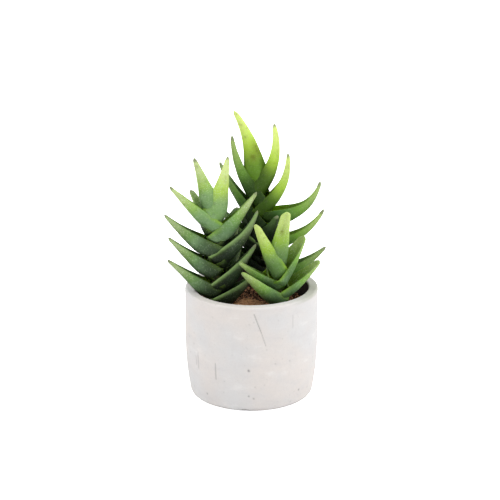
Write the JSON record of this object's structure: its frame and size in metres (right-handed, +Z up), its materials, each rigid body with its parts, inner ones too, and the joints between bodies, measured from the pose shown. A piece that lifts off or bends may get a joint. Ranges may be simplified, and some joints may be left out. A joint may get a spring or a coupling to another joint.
{
  "type": "potted aloe",
  "caption": "Potted aloe: leafy stems with clasping, channelled, blunt-tipped leaves in three ranks, standing in gritty soil in a pale round concrete pot.",
  "frame": {"origin": "middle of the pot's flat underside, which it rests on", "axes": "+Z up along the pot's axis; -Y towards the side that the picture shows; +X to the right there"},
  "size_m": [0.12, 0.1006, 0.2186],
  "materials": {
    "concrete": "matte",
    "soil": "matte",
    "leaf": "satin",
    "stem": "matte"
  },
  "bodies": {
    "root": {"pot": "concrete", "soil": "soil", "stem_left": "stem", "stem_back": "stem", "stem_front": "stem", "leaf_left_01": "leaf", "leaf_left_02": "leaf", "leaf_left_03": "leaf", "leaf_left_04": "leaf", "leaf_left_05": "leaf", "leaf_left_06": "leaf", "leaf_left_07": "leaf", "leaf_left_08": "leaf", "leaf_left_09": "leaf", "leaf_left_10": "leaf", "leaf_left_11": "leaf", "leaf_left_12": "leaf", "leaf_left_13": "leaf", "leaf_left_14": "leaf", "leaf_left_15": "leaf", "leaf_left_16": "leaf", "leaf_left_17": "leaf", "leaf_back_01": "leaf", "leaf_back_02": "leaf", "leaf_back_03": "leaf", "leaf_back_04": "leaf", "leaf_back_05": "leaf", "leaf_back_06": "leaf", "leaf_back_07": "leaf", "leaf_back_08": "leaf", "leaf_back_09": "leaf", "leaf_back_10": "leaf", "leaf_back_11": "leaf", "leaf_back_12": "leaf", "leaf_back_13": "leaf", "leaf_back_14": "leaf", "leaf_back_15": "leaf", "leaf_back_16": "leaf", "leaf_back_17": "leaf", "leaf_front_01": "leaf", "leaf_front_02": "leaf", "leaf_front_03": "leaf", "leaf_front_04": "leaf", "leaf_front_05": "leaf", "leaf_front_06": "leaf", "leaf_front_07": "leaf", "leaf_front_08": "leaf"}
  },
  "joints": []
}
